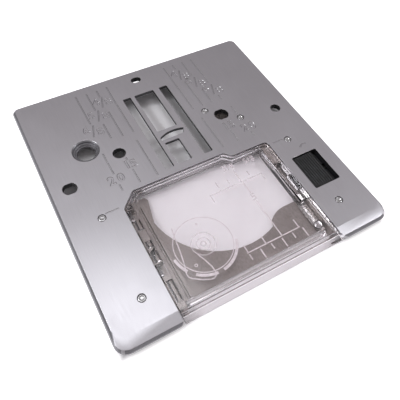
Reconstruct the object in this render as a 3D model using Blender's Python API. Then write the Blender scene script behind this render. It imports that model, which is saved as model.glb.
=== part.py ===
"""Needle plate unit of a sewing machine, with its clear bobbin cover and sliding release.

Everything is laid out in millimetres from a datum in the middle of the line where the plate's
front bevel starts, level with the sewing surface: +X right, +Y back, +Z up. One empty carries
that datum to its place, so that the unit stands on z = 0 with its middle at x = y = 0.
"""
import math

import bmesh
import bpy
from mathutils import Vector

MM = 0.001

# Needle plate
PLATE_HALF_WIDTH = 37.05
PLATE_BACK = 74.0
PLATE_FRONT = -3.1
PLATE_THICKNESS = 1.6
EDGE_HEIGHT = 0.5            # upright part of the edge, under its rounding
EDGE_ROUND = 0.85            # how far the rounded edge reaches in, at the sides and the back
BEVEL_END = -2.5             # where the shallow front bevel meets the rounded edge
BEVEL_DROP = 0.42
BACK_CORNER = 1.6
FRONT_CORNER = 3.0
FEED_PLATE = 0.95            # thickness left over the feed dogs, relieved from below
SLOT_CORNER = 0.35

# Levels of the pressed tray under the plate
GAP = 0.2                    # clearance between two pieces that rest on each other
SHEET = 1.0
FLANGE_TOP = -PLATE_THICKNESS - GAP
UNIT_HEIGHT = 4.9
FLOOR_TOP = -UNIT_HEIGHT + SHEET
FLOOR_FRONT = 1.9            # the floor ends behind the cover's front rib
WALL_FRONT = 0.4             # front end of the side walls and flanges

# Opening of the plate for the cover
WELL_LEFT = -21.9
WELL_RIGHT = 21.8
WELL_BACK = 32.8
WELL_BACK_RIGHT = 30.9
WELL_CHAMFER = 4.0
WELL_STEP_START = 8.8
WELL_STEP_END = 10.6
COVER_GAP = 0.3

# Cover
COVER_TOP = -0.05
SKIN = 1.5
RIB_BOTTOM = -3.2
RIB = 0.9
RIB_BACK = 0.5               # the rib is thinner along the back edge
HINGE_X = -21.8
LATCH_Y = 16.65              # middle of the latch, the tongue and the release button
TAB_PLACES = ((10.6, 2.6), (26.8, 2.6))

# Release
BUTTON_TRAVEL = 1.3
WINDOW_X = (24.5, 32.45)
WINDOW_Y = (11.7, 22.7)
PAD_RIBS = 9
SLIDE_X = (22.4, 33.9)
SLIDE_Y = (10.9, 23.5)
SLIDE_THICKNESS = 1.8
TONGUE_TIP = 20.95
TONGUE_WIDTH = 4.3
COIL_Y = 17.4
COIL_RADIUS = 0.75           # to the middle of the wire
COIL_WIRE = 0.26
COIL_TURNS = 7
COIL_X = (27.3, 35.1)

# Rivets
PLATE_RIVETS = {
    "plate_rivet_front_left": (-27.6, 6.2),
    "plate_rivet_front_right": (27.6, 6.2),
    "plate_rivet_rear_left": (-27.6, 28.9),
    "plate_rivet_rear_right": (27.6, 28.9),
}
LOCATOR_RIVETS = {
    "locator_rivet_left": (12.2, 48.8),
    "locator_rivet_right": (20.2, 42.0),
}
LOCATOR_CENTRE = (16.2, 45.4)
LOCATOR_HOLE = (15.8, 45.5)

# Lift spring
LEAF_X = (18.6, 20.9)
LEAF_Y = (2.3, 13.4)
LEAF_BOTTOM = FLOOR_TOP + 0.25
LEAF_THICKNESS = 0.25
LEAF_RIVET = (19.75, 3.6)
LEAF_PIVOT = (2.6, LEAF_BOTTOM)

ARC_STEPS = 6
ROUND_SIDES = 24


def clear_scene():
    for obj in list(bpy.data.objects):
        bpy.data.objects.remove(obj, do_unlink=True)


def make_material(name, colour, roughness, metallic, transmission=0.0):
    material = bpy.data.materials.new(name)
    material.use_nodes = True
    shader = material.node_tree.nodes["Principled BSDF"]
    shader.inputs["Base Color"].default_value = (*colour, 1.0)
    shader.inputs["Roughness"].default_value = roughness
    shader.inputs["Metallic"].default_value = metallic
    shader.inputs["Transmission Weight"].default_value = transmission
    material.diffuse_color = (*colour, 1.0)
    return material


def arc(centre, radius, start, end, steps=ARC_STEPS):
    """Points of an arc in degrees, both ends included."""
    angles = [math.radians(start + (end - start) * i / steps) for i in range(steps + 1)]
    return [(centre[0] + radius * math.cos(a), centre[1] + radius * math.sin(a)) for a in angles]


def fillet(corners, steps=ARC_STEPS):
    """A closed outline from corners (x, y, radius), each rounded by its radius."""
    points = []
    count = len(corners)
    for i, (x, y, radius) in enumerate(corners):
        corner = Vector((x, y))
        if radius == 0:
            points.append((x, y))
            continue
        before = (Vector(corners[i - 1][:2]) - corner).normalized()
        after = (Vector(corners[(i + 1) % count][:2]) - corner).normalized()
        half = before.angle(after) / 2
        middle = corner + (before + after).normalized() * (radius / math.sin(half))
        first = corner + before * (radius / math.tan(half)) - middle
        last = corner + after * (radius / math.tan(half)) - middle
        sweep = first.angle_signed(last)
        start = math.atan2(first.y, first.x)
        for step in range(steps + 1):
            angle = start - sweep * step / steps
            points.append((middle.x + radius * math.cos(angle), middle.y + radius * math.sin(angle)))
    return points


def rectangle(x, y, radius=0.0):
    return fillet([(x[0], y[0], radius), (x[1], y[0], radius), (x[1], y[1], radius), (x[0], y[1], radius)])


def stadium(centre, length, width, turn=0.0):
    """A slot outline: length from end to end, turned by degrees."""
    reach = (length - width) / 2
    outline = arc((reach, 0), width / 2, -90, 90) + arc((-reach, 0), width / 2, 90, 270)
    c = math.cos(math.radians(turn))
    s = math.sin(math.radians(turn))
    return [(centre[0] + x * c - y * s, centre[1] + x * s + y * c) for x, y in outline]


def double_flat(centre, diameter, flats):
    """A round hole with two flats, square to Y, that are this far apart."""
    cut = math.degrees(math.asin(flats / diameter))
    return arc(centre, diameter / 2, -cut, cut) + arc(centre, diameter / 2, 180 - cut, 180 + cut)


def stack(bm, loops):
    """A closed body through loops of equally many points (x, y, z), lowest loop first."""
    rings = [[bm.verts.new(Vector(point) * MM) for point in loop] for loop in loops]
    count = len(rings[0])
    bm.faces.new(list(reversed(rings[0])))
    for low, high in zip(rings, rings[1:]):
        for i in range(count):
            j = (i + 1) % count
            bm.faces.new((low[i], low[j], high[j], high[i]))
    bm.faces.new(rings[-1])


def prism(bm, outline, low, high):
    stack(bm, [[(x, y, z) for x, y in outline] for z in (low, high)])


def box(bm, x, y, z):
    prism(bm, rectangle(x, y), *z)


def turned(bm, centre, profile, sides=ROUND_SIDES):
    """A body turned about an upright line, from (radius, z) pairs given from the bottom up."""
    circle = [(math.cos(2 * math.pi * i / sides), math.sin(2 * math.pi * i / sides)) for i in range(sides)]
    stack(bm, [[(centre[0] + r * c, centre[1] + r * s, z) for c, s in circle] for r, z in profile])


def add_object(name, bm, material, datum, origin=(0, 0, 0)):
    """The bmesh as an object whose origin is at this place."""
    bmesh.ops.recalc_face_normals(bm, faces=bm.faces)
    bmesh.ops.translate(bm, verts=bm.verts, vec=-Vector(origin) * MM)
    mesh = bpy.data.meshes.new(name)
    bm.to_mesh(mesh)
    bm.free()
    mesh.shade_smooth()
    mesh.set_sharp_from_angle(angle=math.radians(30))
    obj = bpy.data.objects.new(name, mesh)
    bpy.context.collection.objects.link(obj)
    obj.parent = datum
    obj.location = Vector(origin) * MM
    if material:
        mesh.materials.append(material)
    return obj


def add_tool(name, bm, target, operation, datum):
    """A cutter, or a shape to merge, and the Boolean that uses it."""
    tool = add_object(name, bm, None, datum)
    tool.hide_render = True
    tool.display_type = "WIRE"
    boolean = target.modifiers.new(name, "BOOLEAN")
    boolean.operation = operation
    boolean.solver = "EXACT"
    boolean.object = tool
    return tool


def well_outline(gap=0.0, front=PLATE_FRONT - 4):
    """Outline of the cover's opening in the plate, or of the cover inside it."""
    left = WELL_LEFT + gap
    right = WELL_RIGHT - gap
    back = WELL_BACK - gap
    step = WELL_BACK_RIGHT - gap
    return fillet([
        (left, front, 0),
        (right, front, 0),
        (right, step, 1.2),
        (WELL_STEP_END, step, 1.0),
        (WELL_STEP_START, back, 1.0),
        (left + WELL_CHAMFER, back, 0.8),
        (left, back - WELL_CHAMFER, 0.8),
    ], 4)


def needle_slot():
    """The zigzag needle's slot: a crescent, bowed to the back, for a swing of 7 mm."""
    left = (-3.95, 44.55)
    right = (3.3, 45.35)
    bow = arc((0.6, 37.6), 8.95, 70, 118, 8)
    return [(left[0], left[1] - 0.35), (right[0] - 0.9, left[1] - 0.35), (right[0] - 0.2, left[1])] + [
        (right[0], right[1])] + bow + [(left[0], left[1] + 0.55)]


def build_needle_plate(material, datum):
    def level(inset, front, z):
        half = PLATE_HALF_WIDTH - inset
        back = PLATE_BACK - inset
        return [(x, y, z) for x, y in fillet([
            (-half, front, FRONT_CORNER), (half, front, FRONT_CORNER),
            (half, back, BACK_CORNER), (-half, back, BACK_CORNER)])]

    low = -PLATE_THICKNESS
    bm = bmesh.new()
    stack(bm, [
        level(0, PLATE_FRONT, low),
        level(0, PLATE_FRONT, low + EDGE_HEIGHT),
        level(EDGE_ROUND * 0.35, BEVEL_END, -BEVEL_DROP),
        level(EDGE_ROUND, 0, 0),
    ])
    plate = add_object("needle_plate", bm, material, datum)

    deep = (-PLATE_THICKNESS - 1, 1)
    bm = bmesh.new()
    prism(bm, well_outline(), *deep)
    add_tool("cut_well", bm, plate, "DIFFERENCE", datum)

    bm = bmesh.new()
    for edge, flare, side in ((WELL_RIGHT, 2.0, 1), (WELL_LEFT, 1.0, -1)):
        outline = [(1, PLATE_FRONT - 1), (1, PLATE_FRONT + flare)]
        outline += [(-x, y) for x, y in arc((-flare, PLATE_FRONT + flare), flare, 0, -90)]
        outline += [(flare, PLATE_FRONT - 1)]
        outline = [(edge + side * (-x if i < 2 else x), y) for i, (x, y) in enumerate(outline)]
        prism(bm, outline, *deep)
    add_tool("cut_well_corners", bm, plate, "DIFFERENCE", datum)

    bm = bmesh.new()
    box(bm, (-9.4, 9.2), (33.9, 65.4), (-PLATE_THICKNESS - 1, -FEED_PLATE))
    add_tool("cut_feed_relief", bm, plate, "DIFFERENCE", datum)

    bm = bmesh.new()
    slots = [
        rectangle((-7.25, -4.85), (35.0, 63.4), SLOT_CORNER),
        rectangle((4.4, 6.95), (35.0, 63.4), SLOT_CORNER),
        rectangle((-3.6, 2.5), (47.7, 63.4), SLOT_CORNER),
        rectangle((-3.6, 0.65), (35.2, 43.1), SLOT_CORNER),
        needle_slot(),
        stadium((-0.3, 69.5), 3.1, 2.2),
        double_flat(LOCATOR_HOLE, 4.2, 3.7),
        double_flat((-31.5, 40.5), 3.8, 3.3),
        stadium((-16.0, 45.5), 3.6001, 3.6),
        stadium((31.4, 40.5), 3.0001, 3.0),
        rectangle(WINDOW_X, WINDOW_Y, 0.4),
    ]
    for outline in slots:
        prism(bm, outline, *deep)
    add_tool("cut_slots", bm, plate, "DIFFERENCE", datum)

    bm = bmesh.new()
    turned(bm, (-23.6, 50.3), [(2.45, deep[0]), (2.45, -1.25), (3.75, 0.0), (3.75, deep[1])])
    for centre in [*PLATE_RIVETS.values(), *LOCATOR_RIVETS.values()]:
        turned(bm, centre, [(0.85, deep[0]), (0.85, -0.55), (1.05, 0.0), (1.05, deep[1])])
    add_tool("cut_screw_and_rivets", bm, plate, "DIFFERENCE", datum)
    return plate


def hook_opening():
    """The tray's floor round the hook opening, as one outline that is open to the back."""
    centre = (2.35, 26.3)
    radius = 18.9
    bend = arc((15.4, 5.4), 7.1, 90, 131)
    sweep = arc(centre, radius, -66, -172, 22)
    return (
        [(-20.5, FLOOR_FRONT), (22.0, FLOOR_FRONT), (22.0, 12.5)]
        + bend
        + sweep
        + [(-14.9, 30.6), (-15.5, 31.6), (-20.5, 31.6)]
    )


def build_base_plate(material, datum):
    flange = (FLANGE_TOP - SHEET, FLANGE_TOP)
    wall = (-UNIT_HEIGHT, FLANGE_TOP)
    floor = (-UNIT_HEIGHT, FLOOR_TOP)
    bm = bmesh.new()
    prism(bm, hook_opening(), *floor)
    base = add_object("base_plate", bm, material, datum)

    pieces = {
        "left_wall": ((-20.6, -19.5), (WALL_FRONT, 31.5), wall),
        "left_flange": ((-30.5, -20.0), (WALL_FRONT + 0.1, 37.5), flange),
        "left_leg": ((-30.4, -23.5), (36.5, 37.4), wall),
        "rail": ((-17.7, -16.9), (FLOOR_FRONT + 0.1, 28.8), (-UNIT_HEIGHT + 0.3, -2.6)),
        "trough": ((21.0, 36.1), (9.6, 24.8), wall),
        "right_wall_front": ((21.1, 22.1), (WALL_FRONT, 10.0), wall),
        "right_wall_rear": ((21.2, 22.2), (24.0, 33.0), (FLOOR_TOP, FLANGE_TOP)),
        "right_flange_front": ((21.6, 36.0), (WALL_FRONT + 0.1, 10.1), flange),
        "right_flange_rear": ((21.7, 36.0), (24.1, 34.0), flange),
        "right_ledge": ((19.8, 22.0), (24.1, 30.4), flange),
        "right_arm": ((25.5, 31.0), (33.5, 37.5), flange),
        "right_leg": ((25.6, 30.9), (36.5, 37.4), wall),
    }
    for name, (x, y, z) in pieces.items():
        bm = bmesh.new()
        box(bm, x, y, z)
        add_tool("add_" + name, bm, base, "UNION", datum)

    bm = bmesh.new()
    box(bm, (20.0, SLIDE_X[1] + BUTTON_TRAVEL + 0.15), (SLIDE_Y[0] - 0.3, SLIDE_Y[1] + 0.3), (FLOOR_TOP, 1))
    add_tool("cut_trough", bm, base, "DIFFERENCE", datum)

    bm = bmesh.new()
    for y, width in TAB_PLACES:
        box(bm, (-24.0, -19.0), (y - width / 2 - 0.4, y + width / 2 + 0.4), (FLOOR_TOP + 0.2, 1))
    add_tool("cut_tab_notches", bm, base, "DIFFERENCE", datum)

    bm = bmesh.new()
    for centre in PLATE_RIVETS.values():
        turned(bm, centre, [(0.85, -UNIT_HEIGHT - 1), (0.85, 1)])
    turned(bm, LEAF_RIVET, [(1.2, -UNIT_HEIGHT - 1), (1.2, -UNIT_HEIGHT), (0.75, -UNIT_HEIGHT + 0.5), (0.75, 0)])
    add_tool("cut_base_rivets", bm, base, "DIFFERENCE", datum)
    return base


def build_cover(material, datum):
    origin = (HINGE_X, LATCH_Y, 0)
    bottom = COVER_TOP - SKIN
    bm = bmesh.new()
    prism(bm, well_outline(COVER_GAP, PLATE_FRONT), bottom, COVER_TOP)
    cover = add_object("bobbin_cover", bm, material, datum, origin)

    bm = bmesh.new()
    slope = [(PLATE_FRONT - 1, -1.6), (PLATE_FRONT + 0.2, -0.85), (BEVEL_END, -BEVEL_DROP - 0.1),
             (0, COVER_TOP), (0.3, 1), (PLATE_FRONT - 1, 1)]
    loops = [[(x, y, z) for y, z in slope] for x in (-30, 30)]
    stack(bm, loops)
    add_tool("cut_front_slope", bm, cover, "DIFFERENCE", datum)

    bm = bmesh.new()
    inner = 19.4
    prism(bm, fillet([
        (-19.4, 0.6, 0), (inner, 0.6, 0), (inner, 30.4, 0), (10.2, 30.4, 0), (8.4, 32.2, 0),
        (-17.0, 32.2, 0), (-19.4, 29.8, 0)]), RIB_BOTTOM, bottom + 0.5)
    frame = add_tool("add_frame", bm, cover, "UNION", datum)
    bm = bmesh.new()
    prism(bm, fillet([
        (-19.4 + RIB, 0.6 + RIB, 0), (inner - RIB, 0.6 + RIB, 0), (inner - RIB, 30.4 - RIB_BACK, 0),
        (9.9, 30.4 - RIB_BACK, 0), (8.1, 32.2 - RIB_BACK, 0), (-16.7, 32.2 - RIB_BACK, 0),
        (-19.4 + RIB, 29.9, 0)]),
        RIB_BOTTOM - 1, bottom + 1)
    add_tool("cut_frame_inside", bm, frame, "DIFFERENCE", datum)

    bm = bmesh.new()
    box(bm, (inner - RIB - 0.3, inner + 0.5), (1.9, 10.7), (RIB_BOTTOM - 1, bottom + 0.05))
    add_tool("cut_leaf_room", bm, cover, "DIFFERENCE", datum)
    bm = bmesh.new()
    box(bm, (inner - 0.5, 21.4), (10.9, 22.4), (RIB_BOTTOM + 0.05, bottom + 0.4))
    add_tool("add_latch_block", bm, cover, "UNION", datum)
    bm = bmesh.new()
    half = TONGUE_WIDTH / 2 + 0.25
    box(bm, (TONGUE_TIP - 0.25, 23), (LATCH_Y - half, LATCH_Y + half), (RIB_BOTTOM - 1, bottom))
    add_tool("cut_latch_pocket", bm, cover, "DIFFERENCE", datum)

    for number, (y, width) in enumerate(TAB_PLACES):
        bm = bmesh.new()
        side = [(WELL_LEFT - 1.0, -2.8), (-20.6, -2.8), (-20.6, bottom + 0.3), (WELL_LEFT + 0.5, bottom + 0.3),
                (WELL_LEFT + 0.5, FLANGE_TOP), (WELL_LEFT - 1.0, FLANGE_TOP)]
        stack(bm, [[(x, place, z) for x, z in side] for place in (y + width / 2, y - width / 2)])
        add_tool(f"add_tab_{number}", bm, cover, "UNION", datum)
    return cover


def build_button(material, datum):
    origin = ((WINDOW_X[0] + WINDOW_X[1]) / 2, COIL_Y, 0)
    x = (WINDOW_X[0] + 0.25, WINDOW_X[1] - BUTTON_TRAVEL - 0.2)
    y = (WINDOW_Y[0] + 0.25, WINDOW_Y[1] - 0.25)
    top = -0.25
    rib = 0.2
    low = FLANGE_TOP + 0.1
    pitch = (x[1] - x[0]) / PAD_RIBS
    section = [(x[0], low), (x[1], low)]
    for i in range(PAD_RIBS):
        right = x[1] - i * pitch
        section += [(right, top - rib), (right - pitch * 0.3, top), (right - pitch * 0.7, top)]
    section.append((x[0], top - rib))
    bm = bmesh.new()
    stack(bm, [[(px, place, z) for px, z in section] for place in (y[1], y[0])])
    button = add_object("release_button", bm, material, datum, origin)
    for number, place in enumerate((13.0, 21.4)):
        bm = bmesh.new()
        turned(bm, (26.0, place), [(0.6, -3.4), (0.6, low + 0.3)], 16)
        add_tool(f"add_stake_{number}", bm, button, "UNION", datum)
    return button


def build_latch_slide(material, datum):
    origin = ((WINDOW_X[0] + WINDOW_X[1]) / 2, COIL_Y, 0)
    top = FLANGE_TOP - 0.1
    low = top - SLIDE_THICKNESS
    bm = bmesh.new()
    prism(bm, rectangle(SLIDE_X, SLIDE_Y, 0.6), low, top)
    slide = add_object("latch_slide", bm, material, datum, origin)
    bm = bmesh.new()
    half = TONGUE_WIDTH / 2
    side = [(TONGUE_TIP, top - 0.35), (TONGUE_TIP, low + 0.8), (SLIDE_X[0] + 1, low + 0.8),
            (SLIDE_X[0] + 1, top - 0.05), (TONGUE_TIP + 0.5, top - 0.05)]
    stack(bm, [[(x, place, z) for x, z in side] for place in (LATCH_Y + half, LATCH_Y - half)])
    add_tool("add_tongue", bm, slide, "UNION", datum)
    bm = bmesh.new()
    reach = COIL_RADIUS + COIL_WIRE / 2 + 0.2
    box(bm, (COIL_X[0] - 0.2, SLIDE_X[1] + 1), (COIL_Y - reach, COIL_Y + reach), (low - 1, top + 1))
    for place in (13.0, 21.4):
        turned(bm, (26.0, place), [(0.75, low - 1), (0.75, top + 1)], 16)
    add_tool("cut_slide", bm, slide, "DIFFERENCE", datum)
    return slide


def build_release_spring(material, datum):
    """A coil along X, worked out turn by turn, with flat ends."""
    middle_z = FLANGE_TOP - 0.1 - SLIDE_THICKNESS / 2
    start = COIL_X[0] + COIL_WIRE / 2
    length = COIL_X[1] - COIL_X[0] - COIL_WIRE
    per_turn = 14
    wire_sides = 6
    count = COIL_TURNS * per_turn
    bm = bmesh.new()
    rings = []
    for i in range(count + 1):
        along = i / count
        angle = 2 * math.pi * COIL_TURNS * along
        outward = Vector((0, math.cos(angle), math.sin(angle)))
        centre = Vector((start + length * along, COIL_Y, middle_z)) + outward * COIL_RADIUS
        ring = []
        for side in range(wire_sides):
            turn = 2 * math.pi * side / wire_sides
            offset = outward * math.cos(turn) + Vector((1, 0, 0)) * math.sin(turn)
            ring.append(bm.verts.new((centre + offset * COIL_WIRE / 2) * MM))
        rings.append(ring)
    for low, high in zip(rings, rings[1:]):
        for side in range(wire_sides):
            after = (side + 1) % wire_sides
            bm.faces.new((low[side], low[after], high[after], high[side]))
    bm.faces.new(rings[0])
    bm.faces.new(rings[-1])
    return add_object("release_spring", bm, material, datum)


def build_spring_pin(material, datum):
    """A round pin along X inside the coil, with its root in front of the trough's end wall."""
    middle_z = FLANGE_TOP - 0.1 - SLIDE_THICKNESS / 2
    radius = 0.35
    sides = 12
    loops = []
    for x, r in ((30.0, radius * 0.6), (30.2, radius), (SLIDE_X[1] + BUTTON_TRAVEL + 0.05, radius)):
        angles = [2 * math.pi * i / sides for i in range(sides)]
        loops.append([(x, COIL_Y + r * math.cos(a), middle_z + r * math.sin(a)) for a in angles])
    bm = bmesh.new()
    stack(bm, loops)
    return add_object("spring_pin", bm, material, datum)


def build_plate_rivet(name, centre, material, datum):
    bm = bmesh.new()
    low = FLANGE_TOP - SHEET
    turned(bm, centre, [
        (1.3, low - 0.7), (1.45, low - 0.5), (1.45, low - 0.15), (0.72, low - 0.15), (0.72, -0.55),
        (0.9, -0.1), (0.62, -0.06), (0.42, -0.26)])
    return add_object(name, bm, material, datum)


def build_locator_rivet(name, centre, material, datum):
    bm = bmesh.new()
    turned(bm, centre, [
        (0.95, -UNIT_HEIGHT + 0.1), (0.72, -UNIT_HEIGHT + 0.6), (0.72, -0.55),
        (0.9, -0.1), (0.62, -0.06), (0.42, -0.26)])
    return add_object(name, bm, material, datum)


def build_locator_plate(material, datum):
    bm = bmesh.new()
    prism(bm, stadium(LOCATOR_CENTRE, 15.4, 7.4, -40.0), -UNIT_HEIGHT, FLANGE_TOP)
    locator = add_object("locator_plate", bm, material, datum)
    bm = bmesh.new()
    prism(bm, double_flat(LOCATOR_HOLE, 4.0, 3.5), -UNIT_HEIGHT - 1, 1)
    for centre in LOCATOR_RIVETS.values():
        turned(bm, centre, [(1.1, -UNIT_HEIGHT - 1), (1.1, -UNIT_HEIGHT), (0.85, -UNIT_HEIGHT + 0.6), (0.85, 1)])
    add_tool("cut_locator", bm, locator, "DIFFERENCE", datum)
    return locator


def build_lift_spring(material, datum):
    origin = (sum(LEAF_X) / 2, *LEAF_PIVOT)
    bm = bmesh.new()
    prism(bm, rectangle(LEAF_X, LEAF_Y, 0.5), LEAF_BOTTOM, LEAF_BOTTOM + LEAF_THICKNESS)
    leaf = add_object("lift_spring", bm, material, datum, origin)
    bm = bmesh.new()
    turned(bm, LEAF_RIVET, [(0.9, -UNIT_HEIGHT), (0.9, 0)])
    add_tool("cut_leaf", bm, leaf, "DIFFERENCE", datum)
    return leaf


def build_lift_spring_rivet(material, datum):
    head = LEAF_BOTTOM + LEAF_THICKNESS + 0.3
    bm = bmesh.new()
    turned(bm, LEAF_RIVET, [
        (1.0, -UNIT_HEIGHT + 0.08), (0.62, -UNIT_HEIGHT + 0.5), (0.62, head), (1.1, head),
        (1.1, head + 0.2), (0.8, head + 0.4)])
    return add_object("lift_spring_rivet", bm, material, datum)


def main():
    clear_scene()
    datum = bpy.data.objects.new("plate_datum", None)
    bpy.context.collection.objects.link(datum)
    datum.location = (0, -(PLATE_BACK + PLATE_FRONT) / 2 * MM, UNIT_HEIGHT * MM)

    steel = make_material("brushed_plate_steel", (0.52, 0.52, 0.54), 0.34, 1.0)
    nickel = make_material("nickel_plating", (0.42, 0.38, 0.36), 0.28, 1.0)
    rivet_steel = make_material("rivet_steel", (0.68, 0.68, 0.69), 0.25, 1.0)
    spring_steel = make_material("spring_steel", (0.55, 0.48, 0.42), 0.25, 1.0)
    black = make_material("black_plastic", (0.012, 0.012, 0.012), 0.45, 0.0)
    dark_steel = make_material("blackened_steel", (0.06, 0.06, 0.065), 0.4, 0.8)
    clear = make_material("clear_acrylic", (0.93, 0.91, 0.92), 0.05, 0.0, 0.95)

    build_needle_plate(steel, datum)
    build_base_plate(nickel, datum)
    build_cover(clear, datum)
    build_button(black, datum)
    build_latch_slide(dark_steel, datum)
    build_release_spring(spring_steel, datum)
    build_spring_pin(rivet_steel, datum)
    build_locator_plate(nickel, datum)
    build_lift_spring(spring_steel, datum)
    build_lift_spring_rivet(rivet_steel, datum)
    for name, centre in PLATE_RIVETS.items():
        build_plate_rivet(name, centre, rivet_steel, datum)
    for name, centre in LOCATOR_RIVETS.items():
        build_locator_rivet(name, centre, rivet_steel, datum)
    bpy.context.view_layer.update()


main()
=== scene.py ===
import math

import bpy
from mathutils import Matrix, Vector


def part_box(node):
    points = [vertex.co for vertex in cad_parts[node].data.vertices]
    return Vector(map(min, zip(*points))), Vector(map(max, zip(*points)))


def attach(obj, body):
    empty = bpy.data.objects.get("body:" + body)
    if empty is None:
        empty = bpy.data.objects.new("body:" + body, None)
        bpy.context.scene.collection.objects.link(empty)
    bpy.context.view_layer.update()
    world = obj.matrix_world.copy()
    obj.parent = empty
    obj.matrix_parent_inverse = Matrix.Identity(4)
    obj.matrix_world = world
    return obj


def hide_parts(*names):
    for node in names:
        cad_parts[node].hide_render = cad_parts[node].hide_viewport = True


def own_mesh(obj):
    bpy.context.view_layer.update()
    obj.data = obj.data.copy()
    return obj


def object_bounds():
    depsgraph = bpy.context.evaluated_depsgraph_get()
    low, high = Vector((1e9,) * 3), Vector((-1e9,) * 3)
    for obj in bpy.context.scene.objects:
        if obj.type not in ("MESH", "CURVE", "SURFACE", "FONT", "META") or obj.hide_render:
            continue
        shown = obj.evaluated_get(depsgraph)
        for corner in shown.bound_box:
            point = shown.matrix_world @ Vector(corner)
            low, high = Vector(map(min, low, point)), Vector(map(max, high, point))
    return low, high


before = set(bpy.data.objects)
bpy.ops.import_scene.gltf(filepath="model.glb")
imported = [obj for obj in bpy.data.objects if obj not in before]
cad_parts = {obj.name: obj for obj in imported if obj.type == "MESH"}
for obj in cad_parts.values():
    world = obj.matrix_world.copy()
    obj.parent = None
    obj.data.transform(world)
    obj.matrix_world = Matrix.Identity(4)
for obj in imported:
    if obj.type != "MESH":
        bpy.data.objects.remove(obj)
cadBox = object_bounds()
print("frame loaded:", len(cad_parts), "nodes")

mm = 0.001
doublesReach = 0.002 * mm
flatAngle = 0.6        # degrees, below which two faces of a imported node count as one
creaseReach = 0.05     # mm
plateLow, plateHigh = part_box("needle_plate")
plateNose = 3.1    # how far the plate reaches in front of the line where its bevel starts
datum = Vector(((plateLow.x + plateHigh.x) / 2, plateLow.y + plateNose * mm, plateHigh.z))


def at(x, y, z=0.0):
    # a place in millimetres from the middle of the bevel line, level with the sewing surface
    return datum + Vector((x, y, z)) * mm


def clearSelection():
    if bpy.context.object and bpy.context.object.mode != "OBJECT":
        bpy.ops.object.mode_set(mode="OBJECT")
    bpy.ops.object.select_all(action="DESELECT")


def makeActive(piece):
    clearSelection()
    piece.select_set(True)
    bpy.context.view_layer.objects.active = piece


def editAll(piece, kind="FACE"):
    makeActive(piece)
    bpy.ops.object.mode_set(mode="EDIT")
    bpy.ops.mesh.select_mode(type=kind)
    bpy.ops.mesh.select_all(action="SELECT")


def settle(piece):
    makeActive(piece)
    bpy.ops.object.transform_apply(location=True, rotation=True, scale=True)
    return piece


def pickFaces(piece, wanted):
    # select the faces that pass a test on their middle and normal, and stay in edit mode
    makeActive(piece)
    bpy.ops.object.mode_set(mode="EDIT")
    bpy.ops.mesh.select_mode(type="FACE")
    bpy.ops.mesh.select_all(action="DESELECT")
    bpy.ops.object.mode_set(mode="OBJECT")
    for face in piece.data.polygons:
        face.select = wanted(face.center, face.normal)
    bpy.ops.object.mode_set(mode="EDIT")


def copyOfNode(node, name):
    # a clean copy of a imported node: doubles merged and flat triangles joined
    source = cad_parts[node]
    piece = source.copy()
    piece.data = source.data.copy()
    piece.parent = None
    bpy.context.scene.collection.objects.link(piece)
    for key in list(piece.keys()):
        del piece[key]
    piece.name = name
    piece.data.name = name
    editAll(piece)
    bpy.ops.mesh.remove_doubles(threshold=doublesReach)
    bpy.ops.mesh.customdata_custom_splitnormals_clear()
    bpy.ops.mesh.dissolve_limited(angle_limit=math.radians(flatAngle))
    bpy.ops.object.mode_set(mode="OBJECT")
    piece.hide_render = False
    return piece


def block(name, low, high):
    a, b = at(*low), at(*high)
    clearSelection()
    bpy.ops.mesh.primitive_cube_add(size=1, location=(a + b) / 2)
    piece = bpy.context.object
    piece.name = name
    piece.scale = b - a
    return settle(piece)


def rod(name, middle, radius, depth, sides=48, turn=(0, 0, 0)):
    clearSelection()
    bpy.ops.mesh.primitive_cylinder_add(vertices=sides, radius=radius * mm, depth=depth * mm,
                                        location=middle, rotation=turn)
    piece = bpy.context.object
    piece.name = name
    return settle(piece)


def joined(pieces, name):
    makeActive(pieces[0])
    for piece in pieces:
        piece.select_set(True)
    if len(pieces) > 1:
        bpy.ops.object.join()
    piece = bpy.context.object
    piece.name = name
    piece.data.name = name
    return piece


def combine(piece, tool, operation):
    makeActive(piece)
    step = piece.modifiers.new("step", "BOOLEAN")
    step.operation = operation
    step.solver = "EXACT"
    step.use_self = True
    step.object = tool
    bpy.ops.object.modifier_apply(modifier="step")
    bpy.data.objects.remove(tool)
    return piece


def softenEdges(piece, width, segments=2, angle=28):
    makeActive(piece)
    bevel = piece.modifiers.new("edges", "BEVEL")
    bevel.width = width * mm
    bevel.segments = segments
    bevel.limit_method = "ANGLE"
    bevel.angle_limit = math.radians(angle)
    bevel.use_clamp_overlap = False
    bpy.ops.object.modifier_apply(modifier="edges")
    return piece


def smooth(piece, angle=32, creases=()):
    # smooth by angle, with extra hard edges along the lines across X at creases (y, z)
    makeActive(piece)
    bpy.ops.object.shade_smooth_by_angle(angle=math.radians(angle))
    corners = piece.data.vertices
    for edge in piece.data.edges:
        ends = [(corners[i].co - datum) / mm for i in edge.vertices]
        for y, z in creases:
            if all(abs(end.y - y) < creaseReach and abs(end.z - z) < creaseReach for end in ends):
                edge.use_edge_sharp = True
    weigh = piece.modifiers.new("weigh", "WEIGHTED_NORMAL")    # keeps the broad faces flat
    weigh.keep_sharp = True
    weigh.weight = 100
    for modifier in list(piece.modifiers):
        bpy.ops.object.modifier_apply(modifier=modifier.name)
    return piece


def finish(piece, body, nodes, material, creases=()):
    smooth(piece, creases=creases)
    piece.data.materials.clear()
    piece.data.materials.append(material)
    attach(piece, body)
    if nodes:
        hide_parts(*nodes)
    return piece


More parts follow.
